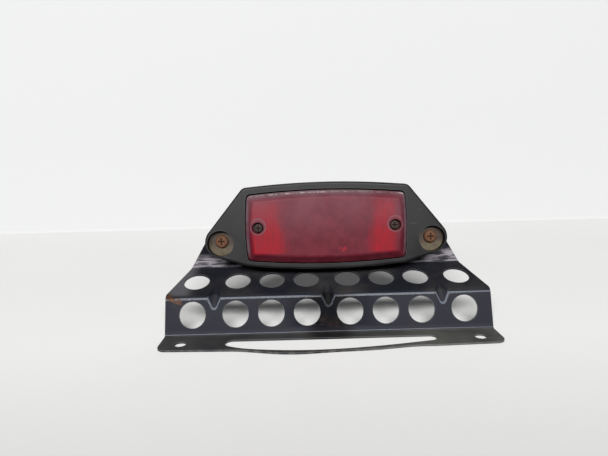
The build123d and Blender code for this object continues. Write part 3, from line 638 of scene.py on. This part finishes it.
optic_red = Shade("lens_optics_red", (0.30, 0.012, 0.020), 0.18)
optic_red.set("Base Color", optic_red.mix(optic_red.noise(60, 4), (0.26, 0.008, 0.016), (0.38, 0.016, 0.028)))
optic_red.set("Roughness", optic_red.steps(optic_red.noise(240, 3), 0.35, 0.65, 0.14, 0.26))
optic_red.set("IOR", 1.49)
optic_red.set("Transmission Weight", 0.75)
optic_red.set("Normal", optic_red.bump(optic_red.noise(900, 3), 0.10, 0.04))
wear(lens_optics(), optic_red)


def coil_spring():
    """The spring behind the contact carrier, with closed ends."""
    low, high = (
        pick(v.co.dot(OUT) for v in nodes["contact_spring"].data.vertices) for pick in (min, max)
    )
    centre = middle("contact_spring")
    base = centre - OUT * centre.dot(OUT)
    wire = SPRING_WIRE_R * MM
    start, length = low + wire, high - low - 2 * wire
    shape = bmesh.new()
    count = int(SPRING_TURNS * TURN_STEPS)

    def climb(turn):
        """How far along the axis the wire is: steady, but easing into both closed ends."""
        free = SPRING_TURNS - 2 * CLOSED_TURN
        share = min(1.0, max(0.0, (turn - CLOSED_TURN) / free))
        lift = share * share * (3 - 2 * share)
        return start + length * (0.7 * share + 0.3 * lift)

    def spot(i):
        """The wire's middle at one step, and the direction from the axis to it."""
        turn = i / TURN_STEPS
        angle = 2 * math.pi * turn
        arm = RIGHT * math.cos(angle) + RISE * math.sin(angle)
        return base + arm * SPRING_R * MM + OUT * climb(turn), arm

    rings = []
    for i in range(count + 1):
        here, arm = spot(i)
        path = (spot(min(i + 1, count))[0] - spot(max(i - 1, 0))[0]).normalized()
        cross = path.cross(arm).normalized()
        rings.append([
            shape.verts.new(here + (arm * math.cos(a) + cross * math.sin(a)) * wire)
            for a in (2 * math.pi * k / WIRE_SIDES for k in range(WIRE_SIDES))
        ])
    for one, two in zip(rings, rings[1:]):
        for k in range(WIRE_SIDES):
            after = (k + 1) % WIRE_SIDES
            shape.faces.new((one[k], one[after], two[after], two[k]))
    shape.faces.new(rings[0])
    shape.faces.new(rings[-1])
    spring = piece_of("spring_coil", shape, "fixture")
    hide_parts("contact_spring")
    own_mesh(spring)
    return spring


wear(coil_spring(), spring_finish)

# ---- Floor, backdrop and light -------------------------------------------------------------------
WALL_Y, WALL_TOP, CORNER_R = 0.60, 0.5, 0.004  # the backdrop's wall, and the fold at its foot
REACH, COVE_H, FOLD = 2.5, 0.9, 0.1  # the floor's other sides turn up far away


def sheet_of(name, rows):
    """A smooth surface through rows of points."""
    mesh = bpy.data.meshes.new(name)
    points = [p for row in rows for p in row]
    n = len(rows[0])
    faces = [
        (r * n + c, r * n + c + 1, (r + 1) * n + c + 1, (r + 1) * n + c)
        for r in range(len(rows) - 1)
        for c in range(n - 1)
    ]
    mesh.from_pydata(points, [], faces)
    mesh.shade_smooth()
    made = bpy.data.objects.new(name, mesh)
    bpy.context.scene.collection.objects.link(made)
    return made


def backdrop():
    """A pale floor that folds up into a wall behind the lamp."""
    profile = [(-REACH, COVE_H), (-REACH, 0.0), (FOLD - REACH, 0.0), (-1.0, 0.0)]
    profile += [(WALL_Y - CORNER_R, 0.0)]
    profile += [
        (WALL_Y - CORNER_R * (1 - math.sin(a)), CORNER_R * (1 - math.cos(a)))
        for a in (math.radians(d) for d in range(10, 90, 10))
    ]
    profile += [(WALL_Y, CORNER_R), (WALL_Y, 0.2), (WALL_Y, WALL_TOP)]
    half_row = [(0.0, 0.0), (REACH - FOLD, 0.0), (REACH, 0.0), (REACH, COVE_H)]
    row = [(-x, lift) for x, lift in half_row[:0:-1]] + half_row
    return sheet_of("floor", [[(x, y, z + lift) for x, lift in row] for y, z in profile])


def paper_finish():
    """Matt paper with painted shade that darkens it towards the front, and a little darker on the wall."""
    paper = Shade("backdrop", (0.40, 0.40, 0.397), 0.8)
    tone = paper.mix(paper.noise(6, 3), (0.402, 0.401, 0.395), (0.420, 0.419, 0.413))
    # Painted shade, darker towards the front.
    front_shade = paper.steps(paper.along((0, -1, 0)), -20, 260)
    tone = paper.mix(front_shade, tone, (0.318, 0.316, 0.309))
    up_wall = paper.steps(paper.along((0, 0, 1)), 0.0, 1.0)
    paper.set("Base Color", paper.mix(up_wall, tone, (0.234, 0.235, 0.235)))
    paper.set("Specular IOR Level", 0.15)
    return paper


floor = backdrop()
wear(floor, paper_finish())

KEY_DISTANCE, KEY_RISE = 7.0, math.radians(26.5)
KEY_WIDTH, KEY_HEIGHT, KEY_POWER = 5.6, 1.0, 2120
KEY_AIM = Vector((0, 0.05, 0.07))
SKY, SKY_STRENGTH = (0.88, 0.93, 1.0, 1), 0.045


def set_lights():
    """One wide, low soft light in front of the lamp, and very little fill."""
    data = bpy.data.lights.new("key", "AREA")
    data.shape = "RECTANGLE"
    data.size, data.size_y = KEY_WIDTH, KEY_HEIGHT
    data.energy = KEY_POWER
    key = bpy.data.objects.new("key", data)
    bpy.context.scene.collection.objects.link(key)
    away = Vector((-0.05, -math.cos(KEY_RISE), math.sin(KEY_RISE)))
    key.location = KEY_AIM + away * KEY_DISTANCE
    key.rotation_euler = (KEY_AIM - key.location).to_track_quat("-Z", "Y").to_euler()
    world = bpy.data.worlds.new("studio")
    bpy.context.scene.world = world
    world.use_nodes = True
    world.node_tree.nodes["Background"].inputs["Color"].default_value = SKY
    world.node_tree.nodes["Background"].inputs["Strength"].default_value = SKY_STRENGTH
    bpy.context.scene.view_settings.view_transform = "Standard"


set_lights()
